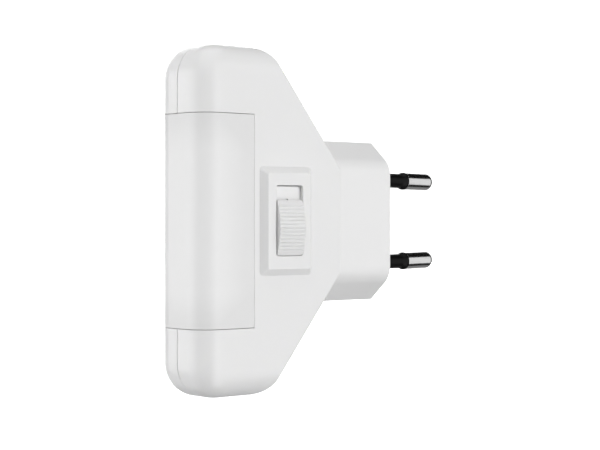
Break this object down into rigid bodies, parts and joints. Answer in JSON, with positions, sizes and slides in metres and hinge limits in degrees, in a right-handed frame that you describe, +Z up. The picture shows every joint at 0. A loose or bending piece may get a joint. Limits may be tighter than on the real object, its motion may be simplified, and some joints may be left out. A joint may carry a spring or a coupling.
{
  "type": "plug in night light",
  "caption": "Plug in night light: a slim housing on a two pin mains plug, with a frosted light cover wrapped round its front edge and a slide switch on one side.",
  "frame": {"origin": "middle of the plug's engagement face, between the two pins", "axes": "+Y along the plug into the socket, +Z up with one pin above the other, +X out of the side with the switch"},
  "size_m": [0.0189, 0.0737, 0.0738],
  "materials": {
    "housing_white": "fine satin moulded plastic",
    "cover_frosted": "frosted translucent plastic",
    "plug_white": "fine satin moulded plastic",
    "knob_white": "satin moulded plastic with cross grooves",
    "pin_nickel": "polished nickel plating",
    "sleeve_black": "smooth black insulating plastic",
    "screw_steel": "zinc plated steel",
    "switch_steel": "tin plated sheet steel",
    "switch_phenolic": "laminated phenolic",
    "contact_silver": "silver plated bronze",
    "lever_black": "moulded nylon",
    "board_green": "lacquered glass fibre board",
    "film_capacitor_yellow": "moulded box",
    "can_capacitor_black": "shrink sleeve over an aluminium can",
    "resistor_grey": "flame proof lacquer",
    "resistor_tan": "lacquered carbon film",
    "rectifier_black": "moulded epoxy",
    "lamp_board_white": "white lacquered board",
    "led_phosphor": "silicone phosphor in a white package",
    "lead_red": "insulated lead",
    "lead_brown": "insulated lead",
    "lead_blue": "insulated lead"
  },
  "bodies": {
    "housing": {"switch_side_shell": "housing_white", "plain_side_shell": "housing_white", "diffuser": "cover_frosted", "plug_body": "plug_white", "upper_pin": "pin_nickel", "lower_pin": "pin_nickel", "upper_pin_sleeve": "sleeve_black", "lower_pin_sleeve": "sleeve_black", "case_screws": "screw_steel", "switch_can": "switch_steel", "switch_base": "switch_phenolic", "switch_terminals": "contact_silver", "driver_board": "board_green", "dropper_capacitor": "film_capacitor_yellow", "smoothing_capacitor": "can_capacitor_black", "fusible_resistor": "resistor_grey", "bleed_resistor": "resistor_tan", "bridge_rectifier": "rectifier_black", "led_board": "lamp_board_white", "leds": "led_phosphor", "led_leads": "lead_red", "upper_pin_lead": "lead_brown", "lower_pin_lead": "lead_blue"},
    "slider": {"switch_knob": "knob_white", "switch_lever": "lever_black", "switch_contact": "contact_silver"}
  },
  "joints": [
    {"name": "switch_slide", "type": "slide", "parent": "housing", "child": "slider", "axis": [0, 0, 1], "range_m": [0, 0.0031]}
  ]
}
